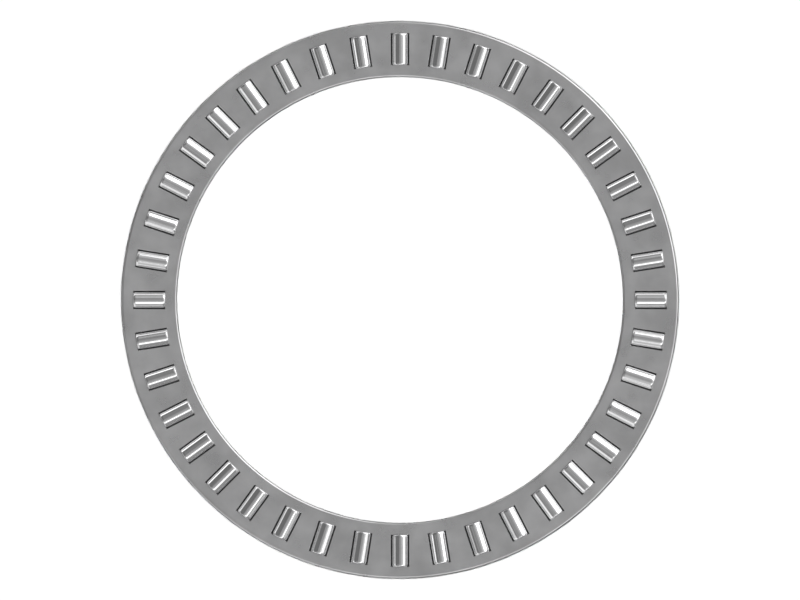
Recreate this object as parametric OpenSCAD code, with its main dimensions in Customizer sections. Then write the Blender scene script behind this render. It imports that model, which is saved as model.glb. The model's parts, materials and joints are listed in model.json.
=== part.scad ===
// Thrust roller bearing: a pressed steel cage that holds forty short rollers, set like
// spokes round a flat ring. The cage is a box in section, made of two channel rings:
// the cover nests inside the shell, and the shell's edges are rolled over it at both rims.
// The rollers stand proud of both faces, and the lips of their pockets keep them in.
// Axis of the bearing along Z, origin on it in the plane of the roller centres.

/* [Bearing] */
// Bore of the cage
bore_d = 160; // [156:1:163]
// Outside diameter of the cage
outer_d = 200; // [197:1:206]

/* [Rollers] */
// Number of rollers
roller_count = 40; // [24:1:44]
// Diameter of a roller
roller_d = 6.5; // [6:0.1:7]
// Length of a roller over its ends
roller_l = 11.45; // [9:0.05:12]
// Length at each end of a roller over which its side curves in
crown_l = 0.75; // [0.4:0.05:1]
// Radius of that curve, in section
crown_r = 3; // [2:0.5:6]
// Width of the chamfer between the curve and the flat end
chamfer = 0.2; // [0.1:0.05:0.3]

/* [Cage] */
// Thickness of the cage over both faces
cage_t = 3.2; // [2.8:0.1:3.6]
// Thickness of the steel sheet
sheet_t = 0.55; // [0.4:0.05:0.6]
// Outside radius of the bend between a face and a rim
bend_r = 0.8; // [0.7:0.05:1.2]
// Angle through which the shell's edges are rolled round the cover's bends
crimp_angle = 34; // [24:1:36]

/* [Pockets] */
// Gap between a roller's side and the lips of its pocket
side_play = 0.05; // [0.03:0.01:0.08]
// Gap between a roller's end and the end of its pocket
end_play = 0.04; // [0.03:0.01:0.15]

/* [Hidden] */
$fn = 128;
bore_r = bore_d / 2;
outer_r = outer_d / 2;
pitch_r = (bore_r + outer_r) / 2;
roller_r = roller_d / 2;
roller_pitch = 360 / roller_count;
// Heights above the middle plane of a face, its inner side, and the end of its bends
face_z = cage_t / 2;
inner_z = face_z - sheet_t;
bend_z = face_z - bend_r;
// The cover's walls stop short of the shell's bends by this much
wall_gap = 0.1;
// A pocket is as wide as its roller at the face, and narrows to its lips at the inner side
pocket_l = roller_l + 2 * end_play;
mouth_y = roller_r + side_play;
lip_y = sqrt(pow(mouth_y, 2) - pow(inner_z, 2));

function roller_name(i) = str("roller_", i < 10 ? "0" : "", i);

// Wedge of a disc between two angles, large enough to cut a disc of radius r
module wedge(r, from, to) {
    middle = (from + to) / 2;
    polygon(concat([[0, 0]], [for (a = [from, middle, to]) 2 * r * [cos(a), sin(a)]]));
}

// Sheet bent round the point 0,0 through the angles given, in section
module bend(outside_r, from, to) {
    intersection() {
        difference() {
            circle(outside_r);
            circle(outside_r - sheet_t);
        }
        wedge(outside_r, from, to);
    }
}

// What is drawn at the outer rim, and its mirror image at the bore
module both_rims() {
    children();
    translate([2 * pitch_r, 0]) mirror([1, 0]) children();
}

// Shell in section: upper face, bend, wall, and the edge rolled under the cover
module shell_section() {
    translate([bore_r + bend_r, inner_z]) square([outer_r - bore_r - 2 * bend_r, sheet_t]);
    both_rims() {
        translate([outer_r - bend_r, bend_z]) bend(bend_r, 0, 90);
        translate([outer_r - sheet_t, -bend_z]) square([sheet_t, 2 * bend_z]);
        translate([outer_r - sheet_t - bend_r, -bend_z]) bend(bend_r + sheet_t, -crimp_angle, 0);
    }
}

// Cover in section: lower face, bend, and a wall that stands inside the shell's wall
module cover_section() {
    face_start = bore_r + sheet_t + bend_r;
    translate([face_start, -face_z]) square([2 * (pitch_r - face_start), sheet_t]);
    both_rims() {
        translate([outer_r - sheet_t - bend_r, -bend_z]) bend(bend_r, -90, 0);
        translate([outer_r - 2 * sheet_t, -bend_z]) square([sheet_t, 2 * bend_z - wall_gap]);
    }
}

// Cutter for the pockets of the upper face, each with sloped sides and square ends
module pockets() {
    above = face_z + sheet_t;
    half = [[lip_y, 0], [lip_y, inner_z], [mouth_y, face_z], [mouth_y, above]];
    other_half = [for (i = [3 : -1 : 0]) [-half[i].x, half[i].y]];
    for (i = [0 : roller_count - 1]) {
        rotate([0, 0, i * roller_pitch])
            translate([pitch_r - pocket_l / 2, 0, 0])
                rotate([90, 0, 90])
                    linear_extrude(pocket_l) polygon(concat(half, other_half));
    }
}

// Upper half of the cage, whose edges hold the two halves together
module cage_shell() {
    color([0.60, 0.61, 0.63])
        difference() {
            rotate_extrude() shell_section();
            pockets();
        }
}

// Lower half of the cage
module cage_cover() {
    color([0.56, 0.57, 0.59])
        difference() {
            rotate_extrude() cover_section();
            mirror([0, 0, 1]) pockets();
        }
}

// Half section of a roller without its crown: the corners are cut off from flat_r outwards
module chamfered_half(flat_r) {
    end = roller_l / 2;
    shoulder = end - (roller_r - flat_r);
    polygon([
        [0, -end], [flat_r, -end], [roller_r, -shoulder],
        [roller_r, shoulder], [flat_r, end], [0, end]
    ]);
}

// Roller along X, centred on the origin: its side curves in towards chamfered flat ends
module roller() {
    straight = roller_l - 2 * (crown_l + chamfer);
    crown_drop = crown_r - sqrt(pow(crown_r, 2) - pow(crown_l, 2));
    rotate([0, 90, 0]) rotate_extrude() intersection() {
        chamfered_half(roller_r - crown_drop - chamfer);
        union() {
            translate([0, -straight / 2]) square([roller_r, straight]);
            for (end = [-1, 1]) {
                translate([roller_r - crown_r, end * straight / 2]) circle(crown_r);
            }
        }
    }
}

// Roller i in its pocket, the first one on the X axis
module placed_roller(i) {
    color([0.80, 0.81, 0.83])
        rotate([0, 0, (i - 1) * roller_pitch])
            translate([pitch_r, 0, 0]) roller();
}

cage_shell();
cage_cover();
for (i = [1 : roller_count]) {
    placed_roller(i);
}
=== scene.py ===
# Roller thrust bearing: the two steel sheets of the cage and the forty rollers are made
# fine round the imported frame, given their finishes, and set in a pale studio.
# The file is laid out as an add-on and is run as a script. Lengths are in metres.
import bmesh
import bpy
import json
import math
from bpy.props import (
    FloatProperty,
    FloatVectorProperty,
    IntProperty,
    PointerProperty,
)
from mathutils import Matrix, Vector


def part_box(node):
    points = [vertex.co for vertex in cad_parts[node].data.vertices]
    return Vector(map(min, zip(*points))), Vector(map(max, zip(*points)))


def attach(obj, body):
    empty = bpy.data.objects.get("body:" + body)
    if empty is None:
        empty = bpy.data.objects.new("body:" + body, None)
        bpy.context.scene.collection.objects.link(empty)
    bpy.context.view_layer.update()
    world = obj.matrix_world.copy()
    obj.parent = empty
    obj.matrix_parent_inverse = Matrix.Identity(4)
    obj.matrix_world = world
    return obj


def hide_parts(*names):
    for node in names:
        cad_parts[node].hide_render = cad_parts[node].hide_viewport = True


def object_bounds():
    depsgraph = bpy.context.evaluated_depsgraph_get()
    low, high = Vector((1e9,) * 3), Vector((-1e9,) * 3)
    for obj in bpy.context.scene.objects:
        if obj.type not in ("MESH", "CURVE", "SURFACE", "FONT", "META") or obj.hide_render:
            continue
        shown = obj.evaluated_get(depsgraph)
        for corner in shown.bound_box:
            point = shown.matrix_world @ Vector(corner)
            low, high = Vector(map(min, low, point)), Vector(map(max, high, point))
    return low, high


bl_info = {
    "name": "Roller Thrust Bearing",
    "version": (1, 0, 0),
    "blender": (4, 5, 0),
    "location": "3D View > Sidebar > Bearing",
    "description": "Makes the cage, the rollers and the studio of a roller thrust bearing",
    "category": "Object",
}

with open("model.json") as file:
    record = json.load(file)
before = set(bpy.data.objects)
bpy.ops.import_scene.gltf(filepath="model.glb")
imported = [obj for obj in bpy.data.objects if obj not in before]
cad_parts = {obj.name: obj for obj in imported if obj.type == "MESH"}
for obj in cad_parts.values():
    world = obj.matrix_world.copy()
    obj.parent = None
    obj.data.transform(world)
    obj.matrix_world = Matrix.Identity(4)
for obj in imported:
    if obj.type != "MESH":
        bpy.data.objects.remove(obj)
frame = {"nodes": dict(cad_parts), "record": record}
CAD_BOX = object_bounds()

MM = 0.001
MOUNTS = {mount["name"]: mount for mount in frame["record"]["mounts"]}
SHELL_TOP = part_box("cage_shell")[1].z
ROLLER_LOW, ROLLER_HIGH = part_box("roller_01")
ROLLERS = sorted(node for node in frame["nodes"] if node.startswith("roller_"))
AXIS_X, AXIS_Z = Vector((1, 0, 0)), Vector((0, 0, 1))

# Gap between the top of the cover's walls and the bends of the shell
WALL_GAP = 0.1 * MM
# Steps of the mesh across one pocket's share of the ring, round a bend between a face and
# a rim, round a rolled edge, and along the crown of a roller
SECTOR_STEPS = 6
BEND_STEPS = 8
CRIMP_STEPS = 4
CROWN_STEPS = 5
# Distances within which points are merged, lie on a cutting plane, and lie at one height
MERGE_DISTANCE = 1e-6
CUT_DISTANCE = 1e-8
LEVEL_DISTANCE = 1e-7
# Edges that turn more than this are shaded sharp
SHARP_ANGLE = math.radians(50)

# Finish of the sheet: patches to the metre, and tones as shares of the sheet's colour
CLOUD_SCALE = 50
MOTTLE_SCALE = 150
GRAIN_SCALE = 5200
CLOUD_SHARE = 0.6
CLOUD_EDGES = (0.3, 0.7)
CLOUD_CONTRAST = 0.12
# Painted shade: the bends at the rims are darkened to this share of the sheet's colour
BEND_SHADE_TONE = 0.87
WORN_TONE = 1.2
# Painted shade: the pockets' walls are darkened to this share, so the gaps beside the rollers look
# dark
WALL_SHADE_TONE = 0.25
# What the mottle, a rubbed edge and a sheared wall change in the sheet's roughness
MOTTLE_ROUGHNESS = 0.04
WORN_ROUGHNESS = 0.1
SHEARED_ROUGHNESS = 0.1
GRAIN_STRENGTH = 0.04
GRAIN_DEPTH = 0.02 * MM

# Finish of a roller: patches to the metre along it and across it
RING_SCALE = (9000, 500, 500)
BAND_SCALE = (700, 120, 120)
BAND_CONTRAST = 0.04
RING_ROUGHNESS = 0.06
RING_STRENGTH = 0.06
RING_DEPTH = 0.004 * MM

# Floor, the round lamp over it, which only the floor shows, and the camera
FLOOR_TONES = ((0.86, 0.86, 0.86, 1), (0.88, 0.88, 0.88, 1))
FLOOR_CLOUD_SCALE = 3
FLOOR_ROUGHNESS = 0.85
FLOOR_SEGMENTS = 128
WASH_DIAMETER = 0.8
WASH_HEIGHT = 4
WASH_BRIGHTNESS = 104
CAMERA_HEIGHT = 3

# Softboxes: name, shape, azimuth and elevation of the middle, width and height, all in
# degrees, and brightness
SOFTBOXES = (
    ("key", "ELLIPSE", 42, 31, 68, 57, 1.9),
    ("key halo", "ELLIPSE", 34, 44, 104, 70, 0.2),
    ("key crown", "ELLIPSE", 40, 54, 84, 42, 0.14),
    ("ceiling", "ELLIPSE", 330, 69, 60, 58, 0.12),
    ("zenith", "ELLIPSE", 320, 83, 28, 28, 0.085),
    ("side glow", "ELLIPSE", 108, 57, 24, 48, 0.075),
    ("back glow", "ELLIPSE", 234, 63, 44, 32, 0.15),
    ("wall panel", "RECTANGLE", 290, 26, 90, 50, 0.14),
    ("low strip", "RECTANGLE", 117, 14, 80, 21, 0.9),
    ("low strip core", "RECTANGLE", 124, 14, 34, 14, 0.8),
    ("low strip tail", "RECTANGLE", 166, 14, 20, 26, 0.25),
    ("left fill", "RECTANGLE", 189, 20, 27, 22, 0.5),
    ("left fill core", "RECTANGLE", 189, 21, 9, 15, 0.85),
    ("low fill", "RECTANGLE", 228, 19, 43, 42, 0.72),
    ("low fill core", "RECTANGLE", 225, 22, 18, 16, 0.45),
    ("upright", "RECTANGLE", 257, 26, 22, 48, 0.3),
    ("upright foot", "RECTANGLE", 262, 8, 27, 24, 0.35),
    ("high strip", "RECTANGLE", 300, 55, 44, 15, 1.5),
    ("high strip halo", "ELLIPSE", 297, 57, 70, 38, 0.26),
    ("right fill", "RECTANGLE", 352, 34, 22, 32, 0.95),
    ("right wing", "RECTANGLE", 332, 19, 22, 24, 0.35),
)


class CageSizes(bpy.types.PropertyGroup):
    rim_radius: FloatProperty(
        name="Rim radius", description="Radius of the cage's outer rim",
        default=MOUNTS["housing_rim"]["dims"]["r_mm"] * MM, precision=4, unit="LENGTH")
    face_height: FloatProperty(
        name="Face height", description="Height of the cage's face above its middle plane",
        default=SHELL_TOP, precision=5, unit="LENGTH")
    sheet: FloatProperty(
        name="Sheet", description="Thickness of the steel sheet",
        default=0.55 * MM, precision=5, unit="LENGTH")
    bend: FloatProperty(
        name="Bend", description="Outside radius of the bends at the rims",
        default=0.8 * MM, precision=5, unit="LENGTH")
    crimp: FloatProperty(
        name="Crimp", description="Angle through which the shell's edges are rolled",
        default=math.radians(34), subtype="ANGLE", unit="ROTATION")
    side_play: FloatProperty(
        name="Side play", description="Gap between a roller's side and its pocket",
        default=0.05 * MM, precision=5, unit="LENGTH")
    end_play: FloatProperty(
        name="End play", description="Gap between a roller's end and its pocket",
        default=0.04 * MM, precision=5, unit="LENGTH")
    edge_round: FloatProperty(
        name="Edge rounding", description="Width of the worn edge of a pocket",
        default=0.03 * MM, precision=5, unit="LENGTH")


class RollerSizes(bpy.types.PropertyGroup):
    pitch_radius: FloatProperty(
        name="Pitch radius", description="Radius of the circle of the roller centres",
        default=(ROLLER_LOW.x + ROLLER_HIGH.x) / 2, precision=4, unit="LENGTH")
    radius: FloatProperty(
        name="Radius", description="Radius of a roller",
        default=MOUNTS["upper_race"]["pos_m"][2], precision=5, unit="LENGTH")
    length: FloatProperty(
        name="Length", description="Length of a roller over its ends",
        default=ROLLER_HIGH.x - ROLLER_LOW.x, precision=5, unit="LENGTH")
    crown_length: FloatProperty(
        name="Crown length", description="Length at each end over which the side curves in",
        default=0.75 * MM, precision=5, unit="LENGTH")
    crown_radius: FloatProperty(
        name="Crown radius", description="Radius of that curve, in section",
        default=3 * MM, precision=5, unit="LENGTH")
    chamfer: FloatProperty(
        name="Chamfer", description="Width of the chamfer between the curve and the flat end",
        default=0.2 * MM, precision=5, unit="LENGTH")
    facets: IntProperty(
        name="Facets", description="Facets round a roller",
        default=48, min=24, max=96)


class Finishes(bpy.types.PropertyGroup):
    sheet_colour: FloatVectorProperty(
        name="Sheet colour", description="Steel of the cage",
        default=(0.65, 0.65, 0.655), subtype="COLOR", min=0, max=1)
    sheet_roughness: FloatProperty(
        name="Sheet roughness", description="Mean roughness of the cage's steel",
        default=0.28, min=0, max=1, subtype="FACTOR")
    roller_colour: FloatVectorProperty(
        name="Roller colour", description="Steel of the rollers",
        default=(0.72, 0.72, 0.725), subtype="COLOR", min=0, max=1)
    roller_roughness: FloatProperty(
        name="Roller roughness", description="Mean roughness of the rollers' steel",
        default=0.13, min=0, max=1, subtype="FACTOR")


class StudioSizes(bpy.types.PropertyGroup):
    picture_width: FloatProperty(
        name="Picture width", description="Width that the picture takes in at the cage's face",
        default=287.05 * MM, precision=4, unit="LENGTH")
    floor_radius: FloatProperty(
        name="Floor radius", description="Radius of the pale floor",
        default=9, unit="LENGTH")
    light_distance: FloatProperty(
        name="Light distance", description="Distance of the softboxes from the bearing",
        default=12, unit="LENGTH")
    surround: FloatProperty(
        name="Surround", description="Brightness of the studio's walls and ceiling",
        default=0.19, min=0)


class Value:
    """A socket of a material. Sums, differences and products of it add Math nodes."""

    def __init__(self, board, socket):
        self.board, self.socket = board, socket

    def __add__(self, other):
        return self.board.maths("ADD", self, other)

    def __sub__(self, other):
        return self.board.maths("SUBTRACT", self, other)

    def __rsub__(self, other):
        return self.board.maths("SUBTRACT", other, self)

    def __mul__(self, other):
        return self.board.maths("MULTIPLY", self, other)

    __radd__, __rmul__ = __add__, __mul__


class Board:
    """The node tree of one material or of the studio's surround."""

    def __init__(self, owner):
        owner.use_nodes = True
        self.tree = owner.node_tree
        self.tree.nodes.clear()

    def node(self, kind, settings=(), **sockets):
        """Adds a node: its settings first, then the values or links of its sockets."""
        node = self.tree.nodes.new(kind)
        for name, setting in dict(settings).items():
            setattr(node, name, setting)
        for name, value in sockets.items():
            # A socket goes by its name, or by i and its number
            key = int(name[1:]) if name[1:].isdigit() else name.replace("_", " ")
            if isinstance(value, Value):
                self.tree.links.new(value.socket, node.inputs[key])
            else:
                node.inputs[key].default_value = value
        return node

    def value(self, node, output=0):
        return Value(self, node.outputs[output])

    def operation(self, kind, operation, values, output=0):
        numbered = {f"i{i}": value for i, value in enumerate(values)}
        return self.value(self.node(kind, {"operation": operation}, **numbered), output)

    def maths(self, operation, *values):
        return self.operation("ShaderNodeMath", operation, values)

    def vectors(self, operation, *values):
        return self.operation("ShaderNodeVectorMath", operation, values)

    def length(self, vector):
        return self.operation("ShaderNodeVectorMath", "LENGTH", [vector], "Value")

    def attribute(self, name, output="Fac"):
        return self.value(self.node("ShaderNodeAttribute", {"attribute_name": name}), output)

    def object_place(self):
        return self.value(self.node("ShaderNodeTexCoord"), "Object")

    def step(self, value, low, high):
        """A soft step from 0 at low to 1 at high."""
        settings = {"interpolation_type": "SMOOTHSTEP"}
        return self.value(self.node(
            "ShaderNodeMapRange", settings, Value=value, From_Min=low, From_Max=high))

    def noise(self, place, scale):
        return self.value(self.node("ShaderNodeTexNoise", Vector=place, Scale=scale, Detail=2))

    def mix(self, factor, first, second):
        """Mixes two colours."""
        return self.value(self.node(
            "ShaderNodeMix", {"data_type": "RGBA"}, i0=factor, i6=first, i7=second), 2)

    def bump(self, height, strength, depth):
        return self.value(self.node(
            "ShaderNodeBump", Strength=strength, Distance=depth, Height=height))

    def surface(self, **sockets):
        shader = self.value(self.node("ShaderNodeBsdfPrincipled", **sockets))
        self.node("ShaderNodeOutputMaterial", Surface=shader)


def grey(colour, amount):
    """A colour made lighter or darker."""
    return tuple(min(part * amount, 1) for part in colour) + (1,)


def sheet_steel(name, finishes, cage, rollers):
    """Pressed sheet: satin and faintly clouded, with rubbed edges, and with painted shade that
    darkens its bends and the shear-cut walls of its pockets."""
    material = bpy.data.materials.new(name)
    board = Board(material)
    place = board.object_place()
    worn, sheared = board.attribute("worn"), board.attribute("sheared")
    mottle = board.noise(place, MOTTLE_SCALE)
    clouds = mottle * (1 - CLOUD_SHARE) + board.noise(place, CLOUD_SCALE) * CLOUD_SHARE
    colour = board.mix(
        board.step(clouds, *CLOUD_EDGES),
        grey(finishes.sheet_colour, 1 - CLOUD_CONTRAST),
        grey(finishes.sheet_colour, 1 + CLOUD_CONTRAST))

    half_width = cage.rim_radius - rollers.pitch_radius
    radius = board.length(board.vectors("MULTIPLY", place, (1, 1, 0)))
    from_middle = board.maths("ABSOLUTE", radius - rollers.pitch_radius)
    # Painted shade: the bends round both rims are darkened, so the rims come out darker
    bend_shade = board.step(from_middle, half_width - cage.bend, half_width - cage.bend / 2)
    colour = board.mix(bend_shade, colour, board.vectors("MULTIPLY", colour, (BEND_SHADE_TONE,) * 3))
    colour = board.mix(worn, colour, grey(finishes.sheet_colour, WORN_TONE))
    # Painted shade: the pockets' walls are darkened, so the gaps beside the rollers come out dark
    colour = board.mix(sheared, colour, grey(finishes.sheet_colour, WALL_SHADE_TONE))

    roughness = (
        finishes.sheet_roughness - MOTTLE_ROUGHNESS / 2 + mottle * MOTTLE_ROUGHNESS
        - worn * WORN_ROUGHNESS + sheared * SHEARED_ROUGHNESS)
    bump = board.bump(board.noise(place, GRAIN_SCALE), GRAIN_STRENGTH, GRAIN_DEPTH)
    board.surface(Base_Color=colour, Metallic=1.0, Roughness=roughness, Normal=bump)
    return material


def ground_steel(name, finishes):
    """Hardened steel, ground round the roller's own axis and polished."""
    material = bpy.data.materials.new(name)
    board = Board(material)
    place = board.attribute("own_place", "Vector")
    rings = board.noise(board.vectors("MULTIPLY", place, RING_SCALE), 1)
    bands = board.noise(board.vectors("MULTIPLY", place, BAND_SCALE), 1)
    colour = board.mix(
        bands,
        grey(finishes.roller_colour, 1 - BAND_CONTRAST),
        grey(finishes.roller_colour, 1 + BAND_CONTRAST))
    roughness = finishes.roller_roughness - RING_ROUGHNESS / 2 + rings * RING_ROUGHNESS
    bump = board.bump(rings, RING_STRENGTH, RING_DEPTH)
    board.surface(Base_Color=colour, Metallic=1.0, Roughness=roughness, Normal=bump)
    return material


class Outline:
    """A chain of edges drawn in the XZ plane, point by point."""

    def __init__(self, bm, x, z):
        self.bm = bm
        self.tip = bmesh.ops.create_vert(bm, co=(x, 0, z))["vert"][0]

    def line(self, x, z):
        """Draws a straight edge to a point."""
        self.tip = bmesh.ops.extrude_vert_indiv(self.bm, verts=[self.tip])["verts"][0]
        self.tip.co = (x, 0, z)

    def turn(self, x, z, degrees, steps):
        """Draws an arc round a point."""
        made = bmesh.ops.spin(
            self.bm, geom=[self.tip], cent=(x, 0, z), axis=(0, -1, 0),
            angle=math.radians(degrees), steps=steps)
        self.tip = next(part for part in made["geom_last"] if isinstance(part, bmesh.types.BMVert))


def everything(bm):
    return bm.verts[:] + bm.edges[:] + bm.faces[:]


def bore_side(bm, pitch_radius):
    """Repeats the outline of the outer rim at the bore and joins the two across the face."""
    ends = [vert for vert in bm.verts if len(vert.link_edges) == 1]
    mirrored = bmesh.ops.mirror(
        bm, geom=everything(bm), axis="X", merge_dist=-1,
        matrix=Matrix.Translation((-pitch_radius, 0, 0)))["geom"]
    twins = [part for part in mirrored if isinstance(part, bmesh.types.BMVert)]
    for end in ends:
        twin = min(twins, key=lambda vert: (vert.co.z - end.co.z) ** 2
                   + (vert.co.x + end.co.x - 2 * pitch_radius) ** 2)
        bm.edges.new((end, twin))


def flat_faces(bm, height):
    """The faces that lie flat at this height."""
    return [face for face in bm.faces
            if all(abs(vert.co.z - height) < LEVEL_DISTANCE for vert in face.verts)]


def cut(bm, faces, place, normal):
    """Cuts flat faces by a plane, and gives all the faces that they became."""
    parts = dict.fromkeys(part for face in faces for part in (face, *face.edges, *face.verts))
    made = bmesh.ops.bisect_plane(
        bm, geom=list(parts), dist=CUT_DISTANCE, plane_co=place, plane_no=normal)
    return [part for part in made["geom"] if isinstance(part, bmesh.types.BMFace)]


def open_window(bm, height, near, far, half_width):
    """Cuts a window into the flat sheet at this height and gives the edges round it."""
    faces = flat_faces(bm, height)
    for x in (near, far):
        faces = cut(bm, faces, (x, 0, 0), (1, 0, 0))
    faces = [face for face in faces if near < face.calc_center_median().x < far]
    for y in (-half_width, half_width):
        faces = cut(bm, faces, (0, y, 0), (0, 1, 0))
    inside = [face for face in faces if abs(face.calc_center_median().y) < half_width
              and near < face.calc_center_median().x < far]
    edges = dict.fromkeys(edge for face in inside for edge in face.edges)
    rim = [edge for edge in edges if any(face not in inside for face in edge.link_faces)]
    bmesh.ops.delete(bm, geom=inside, context="FACES")
    return rim


def open_pocket(bm, side, cage, rollers):
    """Cuts the pocket of the roller on the X axis, with its sloped walls and rubbed edges."""
    worn, sheared = (bm.faces.layers.float.new(name) for name in ("worn", "sheared"))
    inner_height = cage.face_height - cage.sheet
    mouth = rollers.radius + cage.side_play
    lip = math.sqrt(mouth ** 2 - inner_height ** 2)
    reach = rollers.length / 2 + cage.end_play
    near, far = rollers.pitch_radius - reach, rollers.pitch_radius + reach
    rims = [edge for height, half_width in ((cage.face_height, mouth), (inner_height, lip))
            for edge in open_window(bm, side * height, near, far, half_width)]
    # The walls are marked both for their shear-cut roughness and for painted shade
    for face in bmesh.ops.bridge_loops(bm, edges=rims)["faces"]:
        face[sheared] = 1
    bmesh.ops.recalc_face_normals(bm, faces=bm.faces[:])
    rounded = bmesh.ops.bevel(
        bm, geom=rims, offset=cage.edge_round, offset_type="OFFSET",
        segments=2, profile=0.5, affect="EDGES", material=-1)
    for face in rounded["faces"]:
        face[worn], face[sheared] = 1, 0


def cage_half(outline, side, cage, rollers):
    """A ring of sheet steel with forty pockets. side is 1 for the shell and -1 for the cover."""
    bm = bmesh.new()
    pen = Outline(bm, *outline[0])
    for stroke, *numbers in outline[1:]:
        getattr(pen, stroke)(*numbers)
    bore_side(bm, rollers.pitch_radius)
    pitch = 2 * math.pi / len(ROLLERS)
    bmesh.ops.rotate(
        bm, verts=bm.verts[:], cent=(0, 0, 0), matrix=Matrix.Rotation(-pitch / 2, 3, "Z"))
    bmesh.ops.spin(
        bm, geom=everything(bm), cent=(0, 0, 0), axis=AXIS_Z, angle=pitch, steps=SECTOR_STEPS)
    open_pocket(bm, side, cage, rollers)
    bmesh.ops.spin(
        bm, geom=everything(bm), cent=(0, 0, 0), axis=AXIS_Z,
        angle=2 * math.pi - pitch, steps=len(ROLLERS) - 1, use_duplicate=True)
    close_up(bm)
    return bm


def one_roller(rollers):
    """A roller along X at the origin, which keeps its own coordinates for its finish."""
    bm = bmesh.new()
    end, chamfer = rollers.length / 2, rollers.chamfer
    side = end - chamfer - rollers.crown_length
    crown_z = rollers.radius - rollers.crown_radius
    slope = math.asin(rollers.crown_length / rollers.crown_radius)
    shoulder_z = crown_z + rollers.crown_radius * math.cos(slope)
    pen = Outline(bm, -end, 0)
    pen.line(-end, shoulder_z - chamfer)
    pen.line(chamfer - end, shoulder_z)
    pen.turn(-side, crown_z, -math.degrees(slope), CROWN_STEPS)
    pen.line(side, rollers.radius)
    pen.turn(side, crown_z, -math.degrees(slope), CROWN_STEPS)
    pen.line(end, shoulder_z - chamfer)
    pen.line(end, 0)
    bmesh.ops.spin(
        bm, geom=everything(bm), cent=(0, 0, 0), axis=AXIS_X, angle=2 * math.pi,
        steps=rollers.facets, use_merge=True)
    close_up(bm)
    own_place = bm.verts.layers.float_vector.new("own_place")
    for vert in bm.verts:
        vert[own_place] = vert.co
    return bm


def close_up(bm):
    """Merges the seams and points the faces outwards."""
    bmesh.ops.remove_doubles(bm, verts=bm.verts[:], dist=MERGE_DISTANCE)
    bmesh.ops.recalc_face_normals(bm, faces=bm.faces[:])
    if any(len(edge.link_faces) != 2 for edge in bm.edges):
        raise RuntimeError("a seam is open")
    if bm.calc_volume(signed=True) < 0:
        raise RuntimeError("the faces point inwards")


def finish_piece(name, bm, material, body, node):
    """Makes the object, with its even shading, and puts it in the place of its CAD node."""
    mesh = bpy.data.meshes.new(name)
    bm.to_mesh(mesh)
    bm.free()
    mesh.materials.append(material)
    mesh.shade_smooth()
    mesh.set_sharp_from_angle(angle=SHARP_ANGLE)
    piece = bpy.data.objects.new(name, mesh)
    bpy.context.scene.collection.objects.link(piece)
    even = piece.modifiers.new("Even shading", "WEIGHTED_NORMAL")
    even.keep_sharp = True
    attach(piece, body)
    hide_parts(node)


class BEARING_OT_shell(bpy.types.Operator):
    """Make the upper half of the cage, whose edges are rolled round the cover"""

    bl_idname = "bearing.shell"
    bl_label = "Cage Shell"

    def execute(self, context):
        scene = context.scene
        cage, rollers = scene.bearing_cage, scene.bearing_rollers
        rim, face = cage.rim_radius, cage.face_height
        bend_z, bend_x = face - cage.bend, rim - cage.bend
        crimp_x, crimp = bend_x - cage.sheet, cage.crimp
        inner_end = (crimp_x + cage.bend * math.cos(crimp), -bend_z - cage.bend * math.sin(crimp))
        outline = [
            (bend_x, face),
            ("turn", bend_x, bend_z, -90, BEND_STEPS),
            ("line", rim, -bend_z),
            ("turn", crimp_x, -bend_z, -math.degrees(crimp), CRIMP_STEPS),
            ("line", *inner_end),
            ("turn", crimp_x, -bend_z, math.degrees(crimp), CRIMP_STEPS),
            ("line", rim - cage.sheet, bend_z),
            ("turn", bend_x, bend_z, 90, BEND_STEPS),
        ]
        steel = sheet_steel("shell steel", scene.bearing_finishes, cage, rollers)
        bm = cage_half(outline, 1, cage, rollers)
        finish_piece("shell_ring", bm, steel, "cage", "cage_shell")
        return {"FINISHED"}


class BEARING_OT_cover(bpy.types.Operator):
    """Make the lower half of the cage, which nests inside the shell"""

    bl_idname = "bearing.cover"
    bl_label = "Cage Cover"

    def execute(self, context):
        scene = context.scene
        cage, rollers = scene.bearing_cage, scene.bearing_rollers
        face, wall = cage.face_height, cage.rim_radius - cage.sheet
        bend_z, bend_x = face - cage.bend, wall - cage.bend
        wall_top = bend_z - WALL_GAP
        outline = [
            (bend_x, -face),
            ("turn", bend_x, -bend_z, 90, BEND_STEPS),
            ("line", wall, wall_top),
            ("line", wall - cage.sheet, wall_top),
            ("line", wall - cage.sheet, -bend_z),
            ("turn", bend_x, -bend_z, -90, BEND_STEPS),
        ]
        steel = sheet_steel("cover steel", scene.bearing_finishes, cage, rollers)
        bm = cage_half(outline, -1, cage, rollers)
        finish_piece("cover_ring", bm, steel, "cage", "cage_cover")
        return {"FINISHED"}


class BEARING_OT_rollers(bpy.types.Operator):
    """Make the forty rollers, each in its pocket"""

    bl_idname = "bearing.rollers"
    bl_label = "Rollers"

    def execute(self, context):
        scene = context.scene
        rollers = scene.bearing_rollers
        steel = ground_steel("roller steel", scene.bearing_finishes)
        for i, node in enumerate(ROLLERS):
            bm = one_roller(rollers)
            turn = Matrix.Rotation(2 * math.pi * i / len(ROLLERS), 4, "Z")
            bmesh.ops.transform(
                bm, verts=bm.verts[:],
                matrix=turn @ Matrix.Translation((rollers.pitch_radius, 0, 0)))
            finish_piece(node.replace("roller", "ground_roller"), bm, steel, node,
                         node)
        return {"FINISHED"}


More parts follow.
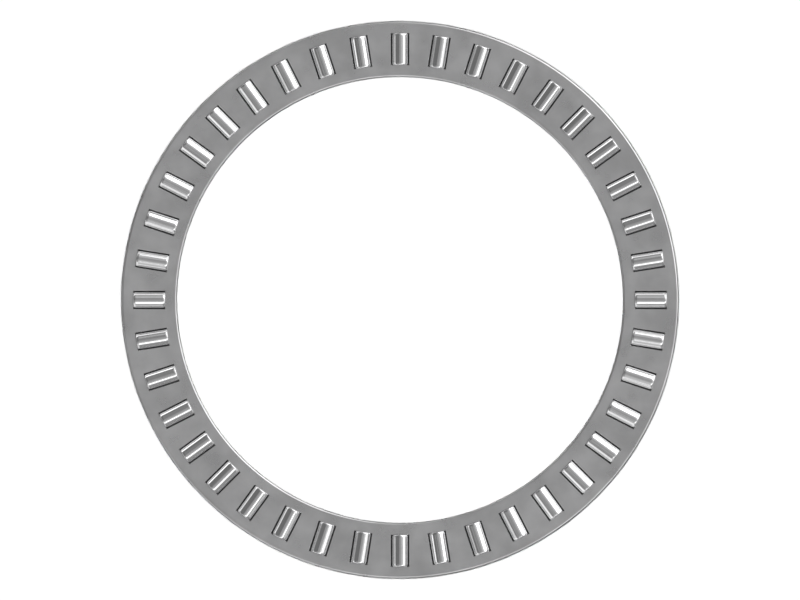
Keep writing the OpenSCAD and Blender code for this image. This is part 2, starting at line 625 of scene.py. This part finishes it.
class BEARING_OT_studio(bpy.types.Operator):
    """Make the pale floor, the softboxes, the surround and the camera"""

    bl_idname = "bearing.studio"
    bl_label = "Studio"

    def execute(self, context):
        scene = context.scene
        studio = scene.bearing_studio
        self.add_floor(scene, studio)
        self.add_floor_wash(scene)
        for softbox in SOFTBOXES:
            self.add_softbox(scene, studio, *softbox)
        self.add_surround(scene, studio)
        self.add_camera(scene, studio)
        scene.view_settings.view_transform = "Standard"
        scene.view_settings.look = "None"
        return {"FINISHED"}

    def add_floor(self, scene, studio):
        bm = bmesh.new()
        bmesh.ops.create_circle(
            bm, cap_ends=True, radius=studio.floor_radius, segments=FLOOR_SEGMENTS)
        bmesh.ops.translate(bm, verts=bm.verts[:], vec=(0, 0, CAD_BOX[0].z))
        mesh = bpy.data.meshes.new("Floor")
        bm.to_mesh(mesh)
        bm.free()
        material = bpy.data.materials.new("pale floor")
        board = Board(material)
        colour = board.mix(board.noise(board.object_place(), FLOOR_CLOUD_SCALE), *FLOOR_TONES)
        board.surface(Base_Color=colour, Roughness=FLOOR_ROUGHNESS)
        mesh.materials.append(material)
        floor = bpy.data.objects.new("Floor", mesh)
        scene.collection.objects.link(floor)
        floor.visible_glossy = False

    def add_floor_wash(self, scene):
        """A lamp straight above, which the steel doesn't reflect."""
        wash = bpy.data.lights.new("floor wash", "AREA")
        wash.shape, wash.size = "DISK", WASH_DIAMETER
        wash.energy = WASH_BRIGHTNESS * math.pi * (math.pi / 4 * WASH_DIAMETER ** 2)
        holder = bpy.data.objects.new("floor wash", wash)
        holder.location = (0, 0, WASH_HEIGHT)
        holder.visible_glossy = False
        scene.collection.objects.link(holder)

    def add_softbox(self, scene, studio, name, shape, azimuth, elevation, width, height,
                    brightness):
        """A softbox that faces the bearing, which only the steel shows."""
        light = bpy.data.lights.new(name, "AREA")
        light.shape = shape
        light.size, light.size_y = (
            2 * studio.light_distance * math.tan(math.radians(angle / 2))
            for angle in (width, height))
        area = light.size * light.size_y * (math.pi / 4 if shape == "ELLIPSE" else 1)
        light.energy = brightness * math.pi * area
        a, e = math.radians(azimuth), math.radians(elevation)
        towards = Vector((math.cos(a) * math.cos(e), math.sin(a) * math.cos(e), math.sin(e)))
        holder = bpy.data.objects.new(name, light)
        holder.location = studio.light_distance * towards
        holder.rotation_euler = towards.to_track_quat("Z", "Y").to_euler()
        holder.visible_diffuse = False
        scene.collection.objects.link(holder)

    def add_surround(self, scene, studio):
        world = bpy.data.worlds.new("Surround")
        scene.world = world
        board = Board(world)
        light = board.value(board.node(
            "ShaderNodeBackground", Color=(1, 1, 1, 1), Strength=studio.surround))
        board.node("ShaderNodeOutputWorld", Surface=light)

    def add_camera(self, scene, studio):
        """A camera without perspective, straight above the bearing's middle."""
        camera = bpy.data.cameras.new("Camera")
        camera.type, camera.ortho_scale = "ORTHO", studio.picture_width
        holder = bpy.data.objects.new("Camera", camera)
        holder.location = (0, 0, CAMERA_HEIGHT)
        scene.collection.objects.link(holder)
        scene.camera = holder


OPERATORS = (BEARING_OT_shell, BEARING_OT_cover, BEARING_OT_rollers, BEARING_OT_studio)
GROUPS = {
    "bearing_cage": CageSizes,
    "bearing_rollers": RollerSizes,
    "bearing_finishes": Finishes,
    "bearing_studio": StudioSizes,
}


class BEARING_PT_panel(bpy.types.Panel):
    """The bearing's sizes and the operators that make its pieces"""

    bl_idname = "BEARING_PT_panel"
    bl_label = "Roller Thrust Bearing"
    bl_space_type = "VIEW_3D"
    bl_region_type = "UI"
    bl_category = "Bearing"

    def draw(self, context):
        for name, group in GROUPS.items():
            box = self.layout.box()
            for prop in group.__annotations__:
                box.prop(getattr(context.scene, name), prop)
        for operator in OPERATORS:
            self.layout.operator(operator.bl_idname)


CLASSES = (*GROUPS.values(), *OPERATORS, BEARING_PT_panel)


def register():
    for cls in CLASSES:
        bpy.utils.register_class(cls)
    for name, group in GROUPS.items():
        setattr(bpy.types.Scene, name, PointerProperty(type=group))


def unregister():
    for name in GROUPS:
        delattr(bpy.types.Scene, name)
    for cls in reversed(CLASSES):
        bpy.utils.unregister_class(cls)


def main():
    register()
    bpy.ops.bearing.shell()
    bpy.ops.bearing.cover()
    bpy.ops.bearing.rollers()
    bpy.ops.bearing.studio()


if __name__ == "__main__":
    main()
